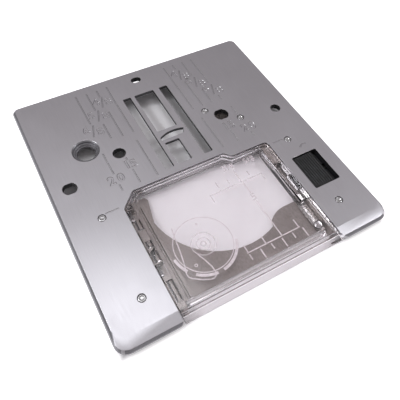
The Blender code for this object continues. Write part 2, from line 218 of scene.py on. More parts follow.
def newGroup(name, inputs, outputs):
    group = bpy.data.node_groups.new(name, "ShaderNodeTree")
    for label, kind, value in inputs:
        socket = group.interface.new_socket(label, in_out="INPUT", socket_type=kind)
        if value is not None:
            socket.default_value = value
    for label, kind in outputs:
        group.interface.new_socket(label, in_out="OUTPUT", socket_type=kind)
    return group, group.nodes.new("NodeGroupInput"), group.nodes.new("NodeGroupOutput")


def addNode(tree, kind, **settings):
    node = tree.nodes.new(kind)
    for key, value in settings.items():
        setattr(node, key, value)
    return node


def maths(tree, operation, a, b, clamp=False):
    node = addNode(tree, "ShaderNodeMath", operation=operation, use_clamp=clamp)
    for socket, value in zip(node.inputs, (a, b)):
        if isinstance(value, (int, float)):
            socket.default_value = value
        else:
            tree.links.new(value, socket)
    return node.outputs[0]


def makeBrushGroup():
    # fine parallel streaks along Y, as a belt leaves them, with a slower drift across
    tree, entry, out = newGroup("brushedGrain", (
        ("Vector", "NodeSocketVector", None),
        ("Fineness", "NodeSocketFloat", 9000.0),
        ("Stretch", "NodeSocketFloat", 0.02),
    ), (("Streak", "NodeSocketFloat"), ("Drift", "NodeSocketFloat")))
    split = addNode(tree, "ShaderNodeSeparateXYZ")
    tree.links.new(entry.outputs["Vector"], split.inputs[0])
    across = maths(tree, "MULTIPLY", split.outputs["X"], entry.outputs["Fineness"])
    alongScale = maths(tree, "MULTIPLY", entry.outputs["Fineness"], entry.outputs["Stretch"])
    along = maths(tree, "MULTIPLY", split.outputs["Y"], alongScale)
    up = maths(tree, "MULTIPLY", split.outputs["Z"], entry.outputs["Fineness"])
    place = addNode(tree, "ShaderNodeCombineXYZ")
    for socket, value in zip(place.inputs, (across, along, up)):
        tree.links.new(value, socket)
    streak = addNode(tree, "ShaderNodeTexNoise")
    streak.inputs["Scale"].default_value = 1.0
    streak.inputs["Detail"].default_value = 4.0
    streak.inputs["Roughness"].default_value = 0.6
    tree.links.new(place.outputs[0], streak.inputs["Vector"])
    tree.links.new(streak.outputs["Fac"], out.inputs["Streak"])
    drift = addNode(tree, "ShaderNodeTexNoise")
    drift.inputs["Scale"].default_value = 55.0
    drift.inputs["Detail"].default_value = 3.0
    tree.links.new(entry.outputs["Vector"], drift.inputs["Vector"])
    tree.links.new(drift.outputs["Fac"], out.inputs["Drift"])
    return tree


def makeHandlingGroup():
    # soft smudges and a few hair scratches from handling
    tree, entry, out = newGroup("handlingMarks", (
        ("Vector", "NodeSocketVector", None),
        ("Smudge Size", "NodeSocketFloat", 120.0),
        ("Scratch Size", "NodeSocketFloat", 260.0),
    ), (("Smudge", "NodeSocketFloat"), ("Scratch", "NodeSocketFloat")))
    smudge = addNode(tree, "ShaderNodeTexNoise")
    smudge.inputs["Detail"].default_value = 5.0
    smudge.inputs["Distortion"].default_value = 0.8
    tree.links.new(entry.outputs["Vector"], smudge.inputs["Vector"])
    tree.links.new(entry.outputs["Smudge Size"], smudge.inputs["Scale"])
    ramp = addNode(tree, "ShaderNodeMapRange")
    ramp.inputs["From Min"].default_value = 0.42
    ramp.inputs["From Max"].default_value = 0.68
    tree.links.new(smudge.outputs["Fac"], ramp.inputs["Value"])
    tree.links.new(ramp.outputs[0], out.inputs["Smudge"])
    scratch = addNode(tree, "ShaderNodeTexVoronoi", feature="DISTANCE_TO_EDGE")
    tree.links.new(entry.outputs["Vector"], scratch.inputs["Vector"])
    tree.links.new(entry.outputs["Scratch Size"], scratch.inputs["Scale"])
    thin = addNode(tree, "ShaderNodeMapRange")
    thin.inputs["From Min"].default_value = 0.0
    thin.inputs["From Max"].default_value = 0.012
    thin.inputs["To Min"].default_value = 1.0
    thin.inputs["To Max"].default_value = 0.0
    tree.links.new(scratch.outputs["Distance"], thin.inputs["Value"])
    tree.links.new(thin.outputs[0], out.inputs["Scratch"])
    return tree


def makeMouldGroup():
    # the fine orange-peel and specks of moulded plastic
    tree, entry, out = newGroup("mouldedSkin", (
        ("Vector", "NodeSocketVector", None),
        ("Peel Size", "NodeSocketFloat", 900.0),
        ("Speck Size", "NodeSocketFloat", 4000.0),
    ), (("Peel", "NodeSocketFloat"), ("Speck", "NodeSocketFloat")))
    for label, size, detail in (("Peel", "Peel Size", 2.0), ("Speck", "Speck Size", 6.0)):
        noise = addNode(tree, "ShaderNodeTexNoise")
        noise.inputs["Detail"].default_value = detail
        tree.links.new(entry.outputs["Vector"], noise.inputs["Vector"])
        tree.links.new(entry.outputs[size], noise.inputs["Scale"])
        tree.links.new(noise.outputs["Fac"], out.inputs[label])
    return tree


brushedGrain = makeBrushGroup()
handlingMarks = makeHandlingGroup()
mouldedSkin = makeMouldGroup()


def newMaterial(name):
    material = bpy.data.materials.new(name)
    material.use_nodes = True
    tree = material.node_tree
    shader = tree.nodes["Principled BSDF"]
    where = addNode(tree, "ShaderNodeTexCoord")
    return material, tree, shader, where.outputs["Object"]


def placeGroup(tree, group, vector, **values):
    node = addNode(tree, "ShaderNodeGroup", node_tree=group)
    tree.links.new(vector, node.inputs["Vector"])
    for label, value in values.items():
        node.inputs[label.replace("_", " ")].default_value = value
    return node


def shadeBetween(tree, factor, dark, light):
    mix = addNode(tree, "ShaderNodeMix", data_type="RGBA")
    mix.inputs["A"].default_value = (*dark, 1)
    mix.inputs["B"].default_value = (*light, 1)
    tree.links.new(factor, mix.inputs["Factor"])
    return mix.outputs["Result"]


def spread(tree, value, low, high):
    node = addNode(tree, "ShaderNodeMapRange")
    node.inputs["From Min"].default_value = 0.3
    node.inputs["From Max"].default_value = 0.7
    node.inputs["To Min"].default_value = low
    node.inputs["To Max"].default_value = high
    tree.links.new(value, node.inputs["Value"])
    return node.outputs[0]


def bumpFrom(tree, shader, height, strength, size):
    # size is the depth of the relief in mm
    bump = addNode(tree, "ShaderNodeBump")
    bump.inputs["Strength"].default_value = strength
    bump.inputs["Distance"].default_value = size * mm
    tree.links.new(height, bump.inputs["Height"])
    tree.links.new(bump.outputs["Normal"], shader.inputs["Normal"])


def metal(name, look):
    material, tree, shader, where = newMaterial(name)
    grain = placeGroup(tree, brushedGrain, where, Fineness=look["fineness"], Stretch=look["stretch"])
    marks = placeGroup(tree, handlingMarks, where, Smudge_Size=look["smudge"], Scratch_Size=look["scratch"])
    tone = maths(tree, "ADD", maths(tree, "MULTIPLY", grain.outputs["Streak"], 0.6),
                 maths(tree, "MULTIPLY", grain.outputs["Drift"], 0.4))
    tree.links.new(shadeBetween(tree, spread(tree, tone, 0, 1), look["dark"], look["light"]),
                   shader.inputs["Base Color"])
    rough = spread(tree, grain.outputs["Streak"], look["rough"][0], look["rough"][1])
    rough = maths(tree, "ADD", rough, maths(tree, "MULTIPLY", marks.outputs["Smudge"], look["smudgeRough"]))
    tree.links.new(rough, shader.inputs["Roughness"])
    height = maths(tree, "SUBTRACT", grain.outputs["Streak"],
                   maths(tree, "MULTIPLY", marks.outputs["Scratch"], look["scratchDepth"]))
    bumpFrom(tree, shader, height, look["bump"], look["bumpSize"])
    shader.inputs["Metallic"].default_value = 1.0
    material.diffuse_color = (*look["light"], 1)
    return material


plateSteel = metal("plateSteel", {
    "dark": (0.545, 0.535, 0.56), "light": (0.63, 0.618, 0.648), "fineness": 9000.0, "stretch": 0.02,
    "smudge": 45.0, "scratch": 60.0, "rough": (0.30, 0.40), "smudgeRough": 0.05,
    "scratchDepth": 0.25, "bump": 0.25, "bumpSize": 0.012,
})
# painted shade: a darker copy of the plate's steel, for the rounded outer edge, the screw hole's cone and
# steps, and the engraved walls turned from the light
edgeSteel = metal("edgeSteel", {
    "dark": (0.22, 0.216, 0.23), "light": (0.33, 0.326, 0.345), "fineness": 3000.0, "stretch": 1.0,
    "smudge": 90.0, "scratch": 140.0, "rough": (0.36, 0.48), "smudgeRough": 0.06,
    "scratchDepth": 0.3, "bump": 0.3, "bumpSize": 0.012,
})
# painted shade: a near-black steel for the punched walls and the underside, with the rougher finish of a
# punched edge
punchedSteel = metal("punchedSteel", {
    "dark": (0.08, 0.08, 0.085), "light": (0.15, 0.15, 0.155), "fineness": 2600.0, "stretch": 1.0,
    "smudge": 90.0, "scratch": 140.0, "rough": (0.42, 0.56), "smudgeRough": 0.06,
    "scratchDepth": 0.3, "bump": 0.35, "bumpSize": 0.015,
})
nickel = metal("nickel", {
    "dark": (0.23, 0.208, 0.196), "light": (0.45, 0.41, 0.39), "fineness": 3600.0, "stretch": 0.4,
    "smudge": 90.0, "scratch": 110.0, "rough": (0.40, 0.52), "smudgeRough": 0.08,
    "scratchDepth": 0.3, "bump": 0.25, "bumpSize": 0.010,
})
darkSteel = metal("darkSteel", {
    "dark": (0.05, 0.05, 0.055), "light": (0.11, 0.11, 0.115), "fineness": 6000.0, "stretch": 0.3,
    "smudge": 160.0, "scratch": 180.0, "rough": (0.38, 0.52), "smudgeRough": 0.08,
    "scratchDepth": 0.4, "bump": 0.3, "bumpSize": 0.012,
})
springSteel = metal("springSteel", {
    "dark": (0.42, 0.41, 0.40), "light": (0.58, 0.57, 0.56), "fineness": 8000.0, "stretch": 0.2,
    "smudge": 200.0, "scratch": 220.0, "rough": (0.22, 0.34), "smudgeRough": 0.06,
    "scratchDepth": 0.4, "bump": 0.25, "bumpSize": 0.008,
})
# the rivets' own steel, also laid on the engraved walls that face the front left as a painted highlight
rivetSteel = metal("rivetSteel", {
    "dark": (0.50, 0.495, 0.50), "light": (0.66, 0.655, 0.66), "fineness": 6000.0, "stretch": 0.5,
    "smudge": 300.0, "scratch": 300.0, "rough": (0.20, 0.28), "smudgeRough": 0.05,
    "scratchDepth": 0.2, "bump": 0.1, "bumpSize": 0.004,
})


blackLook = {
    "peel": 1400.0, "speck": 6000.0, "smudge": 220.0, "scratch": 150.0,
    "dark": (0.005, 0.005, 0.0055), "light": (0.011, 0.011, 0.0115),
    "rough": (0.40, 0.52), "smudgePolish": 0.08, "bump": 0.35, "bumpSize": 0.012, "specular": 0.35,
}


def makeBlackPlastic():
    look = blackLook
    material, tree, shader, where = newMaterial("blackPlastic")
    skin = placeGroup(tree, mouldedSkin, where, Peel_Size=look["peel"], Speck_Size=look["speck"])
    marks = placeGroup(tree, handlingMarks, where, Smudge_Size=look["smudge"], Scratch_Size=look["scratch"])
    colour = shadeBetween(tree, spread(tree, skin.outputs["Speck"], 0, 1), look["dark"], look["light"])
    tree.links.new(colour, shader.inputs["Base Color"])
    rough = maths(tree, "SUBTRACT", spread(tree, skin.outputs["Peel"], *look["rough"]),
                  maths(tree, "MULTIPLY", marks.outputs["Smudge"], look["smudgePolish"]))
    tree.links.new(rough, shader.inputs["Roughness"])
    bumpFrom(tree, shader, skin.outputs["Speck"], look["bump"], look["bumpSize"])
    shader.inputs["Specular IOR Level"].default_value = look["specular"]
    material.diffuse_color = (0.02, 0.02, 0.02, 1)
    return material


acrylicLook = {
    "peel": 260.0, "speck": 2600.0, "smudge": 150.0, "scratch": 90.0,
    "clean": (0.968, 0.945, 0.957), "handled": (0.950, 0.924, 0.938), "shadow": (0.90, 0.878, 0.888, 1),
    "rough": 0.015, "smudgeRough": 0.03, "scratchRough": 0.05, "bump": 0.12, "bumpSize": 0.02, "ior": 1.49,
}


def makeAcrylic():
    # shadow rays pass straight through, so that the tray under the cover stays lit
    look = acrylicLook
    material, tree, shader, where = newMaterial("clearAcrylic")
    skin = placeGroup(tree, mouldedSkin, where, Peel_Size=look["peel"], Speck_Size=look["speck"])
    marks = placeGroup(tree, handlingMarks, where, Smudge_Size=look["smudge"], Scratch_Size=look["scratch"])
    colour = shadeBetween(tree, marks.outputs["Smudge"], look["clean"], look["handled"])
    tree.links.new(colour, shader.inputs["Base Color"])
    rough = maths(tree, "MULTIPLY", marks.outputs["Smudge"], look["smudgeRough"])
    rough = maths(tree, "ADD", rough, look["rough"])
    scratches = maths(tree, "MULTIPLY", marks.outputs["Scratch"], look["scratchRough"])
    tree.links.new(maths(tree, "ADD", rough, scratches), shader.inputs["Roughness"])
    bumpFrom(tree, shader, skin.outputs["Peel"], look["bump"], look["bumpSize"])
    shader.inputs["Transmission Weight"].default_value = 1.0
    shader.inputs["IOR"].default_value = look["ior"]
    through = addNode(tree, "ShaderNodeBsdfTransparent")
    through.inputs["Color"].default_value = look["shadow"]
    ray = addNode(tree, "ShaderNodeLightPath")
    mix = addNode(tree, "ShaderNodeMixShader")
    tree.links.new(ray.outputs["Is Shadow Ray"], mix.inputs["Fac"])
    tree.links.new(shader.outputs[0], mix.inputs[1])
    tree.links.new(through.outputs[0], mix.inputs[2])
    tree.links.new(mix.outputs[0], tree.nodes["Material Output"].inputs["Surface"])
    material.diffuse_color = (0.9, 0.88, 0.9, 0.4)
    return material


frostedLook = {
    "peel": 1600.0, "speck": 7000.0, "dark": (0.82, 0.76, 0.775), "light": (0.91, 0.86, 0.875),
    "rough": (0.42, 0.58), "bump": 0.3, "bumpSize": 0.01,
    "line": (0.78, 0.90), "faint": (0.40, 0.50),     # how solid the strong and the faint lines are
}


def makeFrosted(name, solidity):
    # the matt moulded lines of the cover's drawing, more or less see-through
    look = frostedLook
    material, tree, shader, where = newMaterial(name)
    skin = placeGroup(tree, mouldedSkin, where, Peel_Size=look["peel"], Speck_Size=look["speck"])
    colour = shadeBetween(tree, spread(tree, skin.outputs["Peel"], 0, 1), look["dark"], look["light"])
    tree.links.new(colour, shader.inputs["Base Color"])
    tree.links.new(spread(tree, skin.outputs["Speck"], *look["rough"]), shader.inputs["Roughness"])
    tree.links.new(spread(tree, skin.outputs["Peel"], *solidity), shader.inputs["Alpha"])
    bumpFrom(tree, shader, skin.outputs["Speck"], look["bump"], look["bumpSize"])
    material.diffuse_color = (0.85, 0.8, 0.8, 0.6)
    return material


blackPlastic = makeBlackPlastic()
clearAcrylic = makeAcrylic()
frostedLine = makeFrosted("frostedLine", frostedLook["line"])
faintLine = makeFrosted("faintLine", frostedLook["faint"])
print("materials ready")


plate = {
    "edge": 0.045,             # softened edge of every hole and slot
    "flatHalf": 36.25,         # outside these the edge is rounded and gets painted shade
    "flatBack": 73.2,
    "bevelEnd": -2.52,
    "wellHalf": 23.0,          # the opening for the cover, whose walls keep the top's steel, free of the painted shade on the other walls
    "wellBack": 33.5,
    "creases": ((0.0, 0.0), (-2.5, -0.42)),
    "countersink": (-23.6, 50.3),
    "countersinkSteps": ((3.35, -0.62), (2.85, -1.05)),     # radius and floor of each step
    "stepDepth": 2,
    "countersinkZone": (4.2, -1.5, -0.1),
    "engravedSlope": 0.93,     # and faces steeper than this, near the top, are engraved
    "wallSlope": 0.45,         # faces steeper than this are punched walls, in painted shade
    "grooveWidth": 0.40,
    "grooveDepth": 0.11,
    "grooveFloor": 0.45,       # share of the width that the groove keeps at its floor
    "leftLines": ((-9.525, 50.6, 70.5), (-12.7, 50.6, 60.8), (-12.7, 67.3, 70.3), (-15.875, 51.3, 57.1),
                  (-15.875, 62.9, 70.3), (-19.05, 58.6, 70.6), (-10, 34.3, 47.6), (-15, 34.3, 39.0),
                  (-15, 42.3, 43.3), (-20, 33.9, 36.1), (-20, 39.7, 47.2)),
    "rightLines": ((9.525, 50.9, 70.5), (12.7, 50.9, 62.2), (12.7, 68.4, 70.5), (15.875, 50.9, 57.1),
                   (15.875, 63.7, 70.5), (19.05, 58.6, 70.5), (19.05, 50.6, 52.7), (10, 34.6, 46.9),
                   (15, 34.6, 39.0), (20, 34.2, 36.0), (20, 43.0, 46.9)),
    "crossMarks": ((-26.5, -22.9, 29.6), (22.9, 26.3, 29.5)),
    "curveMark": ((29.0, 24.9), (30.1, 25.6), (31.3, 25.4)),
    "digitSize": 3.75,
    "digitBevel": 0.13,
    "digits": (("1", -15.7, 40.9), ("5", -14.0, 40.6), ("2", -21.35, 37.85), ("0", -18.75, 37.85),
               ("1", 14.55, 40.8), ("5", 16.35, 40.7), ("2", 19.1, 37.95), ("0", 21.5, 37.75)),
    "fractions": (("4", "8", -14.6, 65.8, -11.2, 64.5), ("5", "8", -17.7, 61.4, -14.0, 59.7),
                  ("6", "8", -21.0, 56.8, -17.5, 54.8), ("4", "8", 11.1, 66.5, 14.3, 64.4),
                  ("5", "8", 13.9, 61.9, 17.3, 59.4), ("6", "8", 16.9, 56.6, 20.5, 54.5)),
    "slashTurn": 18,
    "slashLength": 4.3,
}


def groove(x, yStart, yEnd, turn=0.0):
    # a cutter for an engraved line: straight sides that close in towards its floor
    depth, width = plate["grooveDepth"], plate["grooveWidth"]
    tool = block("groove", (x - width / 2, yStart, -depth), (x + width / 2, yEnd, depth))
    pickFaces(tool, lambda middle, normal: normal.z < -0.5)
    bpy.ops.transform.resize(value=(plate["grooveFloor"], 1, 1))
    pickFaces(tool, lambda middle, normal: normal.z > 0.5)
    bpy.ops.transform.resize(value=(2 - plate["grooveFloor"], 1, 1))
    bpy.ops.object.mode_set(mode="OBJECT")
    if turn:
        makeActive(tool)
        bpy.ops.object.mode_set(mode="EDIT")
        bpy.ops.mesh.select_all(action="SELECT")
        bpy.ops.transform.rotate(value=math.radians(turn), orient_axis="Z",
                                 center_override=at(x, (yStart + yEnd) / 2))
        bpy.ops.object.mode_set(mode="OBJECT")
    return tool


def numeral(text, x, y, size, lift=0.0, bevel=0.09, thick=0.0, heavier=0.0):
    # upright digits, read from the front, as a closed mesh centred on a place
    clearSelection()
    bpy.ops.object.text_add()
    sign = bpy.context.object
    sign.data.body = text
    sign.data.size = size
    sign.data.align_x = "CENTER"
    sign.data.align_y = "CENTER"
    sign.data.space_character = 1.12
    sign.data.bevel_depth = bevel
    sign.data.bevel_resolution = 0
    sign.data.extrude = thick
    sign.data.offset = heavier
    sign.data.resolution_u = 4
    bpy.ops.object.convert(target="MESH")
    sign = bpy.context.object
    editAll(sign)
    bpy.ops.mesh.remove_doubles(threshold=0.002)
    bpy.ops.mesh.normals_make_consistent(inside=False)
    bpy.ops.object.mode_set(mode="OBJECT")
    sign.scale = (mm, mm, mm)
    sign.location = at(x, y, lift)
    return settle(sign)


def makePlate():
    piece = copyOfNode("needle_plate", "needlePlate")
    softenEdges(piece, plate["edge"], 2)
    tools = []
    for x, start, end in plate["leftLines"] + plate["rightLines"]:
        tools.append(groove(x, start, end))
    for left, right, y in plate["crossMarks"]:
        x, half = (left + right) / 2, (right - left) / 2
        tools.append(groove(x, y - half, y + half, turn=90))
    for (x1, y1), (x2, y2) in zip(plate["curveMark"], plate["curveMark"][1:]):
        x, y, half = (x1 + x2) / 2, (y1 + y2) / 2, math.dist((x1, y1), (x2, y2)) / 2
        turn = 90 - math.degrees(math.atan2(y2 - y1, x2 - x1))
        tools.append(groove(x, y - half, y + half, turn=turn))
    half = plate["slashLength"] / 2
    for over, under, x1, y1, x2, y2 in plate["fractions"]:
        x, y = (x1 + x2) / 2, (y1 + y2) / 2
        tools.append(groove(x, y - half, y + half, turn=plate["slashTurn"]))
    combine(piece, joined(tools, "grooves"), "DIFFERENCE")
    for radius, bottom in plate["countersinkSteps"]:
        x, y = plate["countersink"]
        cutter = rod("step", at(x, y, bottom + plate["stepDepth"] / 2), radius, plate["stepDepth"])
        combine(piece, cutter, "DIFFERENCE")
    digits = []
    places = list(plate["digits"])
    for over, under, x1, y1, x2, y2 in plate["fractions"]:
        places += [(over, x1, y1), (under, x2, y2)]
    for text, x, y in places:
        digits.append(numeral(text, x, y, plate["digitSize"], bevel=plate["digitBevel"]))
    combine(piece, joined(digits, "digits"), "DIFFERENCE")
    finish(piece, "plate_unit", ["needle_plate"], plateSteel, plate["creases"])
    piece.data.materials.append(punchedSteel)
    piece.data.materials.append(edgeSteel)
    piece.data.materials.append(rivetSteel)
    grooveFloor = plateHigh.z - 1.5 * plate["grooveDepth"] * mm
    reach, low, high = plate["countersinkZone"]
    for face in piece.data.polygons:
        place = (face.center - datum) / mm
        if abs(place.x) > plate["flatHalf"] or place.y > plate["flatBack"] or place.y < plate["bevelEnd"]:
            face.material_index = 2    # painted shade: the rounded outer edge in a darker steel
        elif math.dist(place.xy, plate["countersink"]) < reach and low < place.z < high:
            face.material_index = 2    # painted shade: the cone and steps of the screw hole in a darker steel
        elif place.z > -2 * plate["grooveDepth"] and abs(face.normal.z) < plate["engravedSlope"]:
            # engraved lines and digits: painted highlight on the walls that face the front left, painted
            # shade on the others
            face.material_index = 3 if face.normal.x + face.normal.y < 0 else 2
        elif face.normal.z < plate["wallSlope"] and face.center.z < grooveFloor:
            inWell = abs(place.x) < plate["wellHalf"] and place.y < plate["wellBack"]
            if face.normal.z < -plate["wallSlope"] or not inWell:
                face.material_index = 1    # painted shade: the raw underside and the walls that the press left, in near-black steel; their rougher finish is their own
    return piece


needlePlate = makePlate()
print("needle plate:", len(needlePlate.data.polygons), "faces")


cover = {
    "edge": 0.045,
    "top": -0.05,
    "underside": -1.55,
    "lineThickness": 0.07,
    "lineWidth": 0.29,
    "pocketX": (-21.3, -19.5),
    "pockets": ((1.6, 7.6), (12.4, 15.6), (16.6, 18.6), (21.8, 25.0), (28.6, 29.7)),
    "pocketDepth": 0.8,
    "pocketNarrow": (0.35, 0.8),    # share of its floor that a pocket keeps at its roof
    "flutes": ((-0.75, -0.19, 0.2), (-1.65, -0.36, 0.26)),   # y, z and depth along the lip
    "fluteLength": 60,
    "pane": (-17.6, 17.6, 1.05, 0.12),    # ends, y and depth of the line in front of the pane
}
drawing = {
    "bobbin": (-9.0, 11.85),
    "circles": ((7.2, 7.42),),
    "hub": ((2.85, 3.15), (1.5, 1.78), (0.45, 0.75)),
    "band": (7.7, 8.4),
    "bandArcs": ((-178, -148), (-132, -92), (-82, -18)),
    "thread": ((-13.9, 18.9), (-14.4, 15.8), (-14.9, 12.4), (-15.5, 9.3), (-16.2, 6.9), (-16.1, 6.0),
               (-15.5, 5.3), (-13.6, 4.0), (-11.9, 3.2), (-11.0, 3.1), (-10.3, 3.5), (-10.0, 4.3),
               (-10.1, 5.9), (-10.8, 8.2), (-11.5, 10.0)),
    "dots": ((-13.2, 7.75, 0.22, 0.42), (-7.95, 17.3, 0.05, 0.32)),
    "ruler": ((-0.9, 4.8, 14.25, 4.8), (-0.75, 4.8, -0.75, 6.75), (4.35, 4.8, 4.35, 6.8),
              (9.0, 4.8, 9.0, 16.2), (9.0, 18.8, 9.0, 22.9), (14.1, 4.8, 14.1, 7.1)),
    "eighths": (-0.75, 3.12, 6, 4.15, 1.2, 2.25),     # first, pitch, count, top, short and long tick
    "faintRuler": ((-0.8, 22.9, 14.9, 22.9), (-0.75, 20.8, -0.75, 22.9), (14.8, 22.9, 14.8, 20.9),
                   (2.45, 24.1, 2.45, 25.7), (8.7, 22.9, 8.7, 26.9), (5.6, 24.1, 5.6, 25.1),
                   (11.8, 24.1, 11.8, 25.1)),
    "figures": (("5", 9.05, 17.5, 2.9), ("3/8", 7.9, 28.6, 2.4), ("5/8", 14.3, 28.3, 2.4)),
    "heavier": 0.05,
}


def strip(x1, y1, x2, y2, width, low, high):
    # a straight bar of the drawing, run out by half its width at both ends
    start, end = Vector((x1, y1)), Vector((x2, y2))
    along = end - start
    half = along.length / 2 + width / 2
    middle = (start + end) / 2
    bar = block("bar", (-half, -width / 2, low), (half, width / 2, high))
    makeActive(bar)
    turn = Matrix.Rotation(math.atan2(along.y, along.x), 4, "Z")
    bar.matrix_world = Matrix.Translation(at(middle.x, middle.y)) @ turn @ Matrix.Translation(-at(0, 0))
    return settle(bar)


def ring(x, y, inner, outer, low, high, sides=64, start=None, end=None):
    # a flat ring or part of one: a disc's rim, filled between two circles and given its thickness
    clearSelection()
    bpy.ops.mesh.primitive_circle_add(vertices=sides, radius=outer * mm, location=at(x, y, high))
    piece = settle(bpy.context.object)
    editAll(piece, "EDGE")
    bpy.ops.mesh.extrude_region_move()
    bpy.ops.transform.resize(value=(inner / outer, inner / outer, 1), center_override=at(x, y, high))
    bpy.ops.object.mode_set(mode="OBJECT")
    if start is not None:
        middle = at(x, y)

        def outside(point, normal):
            angle = math.degrees(math.atan2(point.y - middle.y, point.x - middle.x))
            return not start <= angle <= end

        pickFaces(piece, outside)
        bpy.ops.mesh.delete(type="FACE")
        bpy.ops.object.mode_set(mode="OBJECT")
    editAll(piece)
    bpy.ops.mesh.remove_doubles(threshold=0.001 * mm)
    bpy.ops.mesh.extrude_region_move(TRANSFORM_OT_translate={"value": (0, 0, (low - high) * mm)})
    bpy.ops.mesh.select_all(action="SELECT")
    bpy.ops.mesh.normals_make_consistent(inside=False)
    bpy.ops.object.mode_set(mode="OBJECT")
    return piece


def makeCover():
    piece = copyOfNode("bobbin_cover", "bobbinCover")
    low, high = cover["pocketX"]
    tools = []
    for start, end in cover["pockets"]:
        tool = block("pocket", (low, start, cover["underside"] - 0.2),
                     (high, end, cover["underside"] + cover["pocketDepth"]))
        pickFaces(tool, lambda middle, normal: normal.z > 0.5)
        bpy.ops.transform.resize(value=(*cover["pocketNarrow"], 1))
        bpy.ops.object.mode_set(mode="OBJECT")
        tools.append(tool)
    combine(piece, joined(tools, "pockets"), "DIFFERENCE")
    along = (0, math.radians(90), 0)
    flutes = [rod("flute", at(0, y, z), depth, cover["fluteLength"], 4, along)
              for y, z, depth in cover["flutes"]]
    left, right, y, depth = cover["pane"]
    flutes.append(rod("paneLine", at((left + right) / 2, y, cover["top"]), depth, right - left, 4, along))
    combine(piece, joined(flutes, "flutes"), "DIFFERENCE")
    softenEdges(piece, cover["edge"], 2)
    return finish(piece, "cover", ["bobbin_cover"], clearAcrylic)


def makeDrawing():
    high = cover["underside"] - 0.01
    low = high - cover["lineThickness"]
    width = cover["lineWidth"]
    x, y = drawing["bobbin"]
    parts = [ring(x, y, inner, outer, low, high) for inner, outer in drawing["circles"]]
    for start, end in drawing["bandArcs"]:
        parts.append(ring(x, y, *drawing["band"], low, high, 96, start, end))
    for first, second in zip(drawing["thread"], drawing["thread"][1:]):
        parts.append(strip(*first, *second, width, low - 0.02, high - 0.005))
    for dx, dy, inner, outer in drawing["dots"]:
        parts.append(ring(dx, dy, inner, outer, low, high, 20))
    for line in drawing["ruler"]:
        parts.append(strip(*line, width, low, high))
    first, pitch, count, top, short, long = drawing["eighths"]
    for i in range(count):
        length = long if i % 2 else short
        parts.append(strip(first + pitch * i, top, first + pitch * i, top - length, width, low, high))
    return finish(joined(parts, "coverDrawing"), "cover", [], frostedLine)


def makeFaintDrawing():
    # the hub, the back ruler and the figures, moulded shallower
    high = cover["underside"] - 0.01
    low = high - cover["lineThickness"] / 2
    x, y = drawing["bobbin"]
    parts = []
    for inner, outer in drawing["hub"]:
        parts.append(ring(x, y, max(inner, 0.02), outer, low, high))
    for line in drawing["faintRuler"]:
        parts.append(strip(*line, cover["lineWidth"], low, high))
    for text, tx, ty, size in drawing["figures"]:
        parts.append(numeral(text, tx, ty, size, lift=(low + high) / 2, bevel=0.0,
                             thick=cover["lineThickness"] / 4, heavier=drawing["heavier"]))
    return finish(joined(parts, "coverFigures"), "cover", [], faintLine)


bobbinCover = makeCover()
coverDrawing = makeDrawing()
coverFigures = makeFaintDrawing()
print("cover:", len(bobbinCover.data.polygons), "faces, drawing:", len(coverDrawing.data.polygons))


tray = {"edge": 0.045}


def makeTray():
    piece = copyOfNode("base_plate", "pressedTray")
    softenEdges(piece, tray["edge"], 2)
    return finish(piece, "plate_unit", ["base_plate"], nickel)


rivets = {"dishRadius": 0.95, "dishRise": 0.78, "edge": 0.05}


def makeRivet(node, name):
    # a peened head: shallow dish in the middle, softened rim
    piece = copyOfNode(node, name)
    low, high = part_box(node)
    middle = (low + high) / 2
    clearSelection()
    bpy.ops.mesh.primitive_uv_sphere_add(segments=32, ring_count=16, radius=rivets["dishRadius"] * mm,
                                         location=(middle.x, middle.y, high.z + rivets["dishRise"] * mm))
    ball = settle(bpy.context.object)
    combine(piece, ball, "DIFFERENCE")
    softenEdges(piece, rivets["edge"], 2)
    return finish(piece, "plate_unit", [node], rivetSteel)


pressedTray = makeTray()
for node in sorted(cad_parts):
    if node.startswith(("plate_rivet", "locator_rivet")):
        words = node.split("_")
        makeRivet(node, words[0] + "".join(word.capitalize() for word in words[1:]))
print("tray and rivets ready")

button = {"edge": 0.08}


def makeButton():
    piece = copyOfNode("release_button", "releaseButton")
    softenEdges(piece, button["edge"], 2)
    return finish(piece, "release", ["release_button"], blackPlastic)


def makeReturnSpring():
    # the return spring's coil, ending at the trough's wall, on a mesh of its own
    piece = copyOfNode("release_spring", "returnSpring")
    finish(piece, "plate_unit", ["release_spring"], springSteel)
    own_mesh(piece)
    return piece


releaseButton = makeButton()
returnSpring = makeReturnSpring()
smallParts = {
    "latch_slide": darkSteel,
    "spring_pin": springSteel,
    "lift_spring": springSteel,
    "lift_spring_rivet": rivetSteel,
    "locator_plate": nickel,
}
for node, material in smallParts.items():
    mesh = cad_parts[node].data
    mesh.materials.clear()
    mesh.materials.append(material)
print("small parts ready")


studio = {
    "floorSize": 3.0,
    "floorColour": (0.93, 0.92, 0.93),
    "floorGrain": 30.0,
    "glow": 0.85,              # painted light: the floor glows white round the object and not under it, which paints shade beneath it
    "glowStart": -1.5,         # how far inside the object's outline the glow begins and ends, in mm
    "glowEnd": 0.5,
    "glowColour": (1.0, 0.99, 1.0, 1),
    "lampTint": (0.95, 0.97, 1.0),
    "fadeEdge": 0.50,          # share of a softbox's width, from its middle, where its light ends
    "fadeHeart": 0.05,         # and where it is full
    "heart": 2.4,              # strength of that full light
    "zenith": (0.445, 0.42, 0.43),
    "zenithHeight": 0.75,
    "horizon": (0.15, 0.146, 0.155),
    # place, aim, size in metres and watts of each softbox
    "boxes": {
        "key": ((-14, 122, 430), (0, 30, 0), (0.30, 0.30), 0.38),
        "top": ((-330, 170, 400), (0, 30, 0), (0.28, 0.28), 1.15),
        "side": ((330, -70, 360), (20, 10, 0), (0.20, 0.20), 0.45),
    },
}


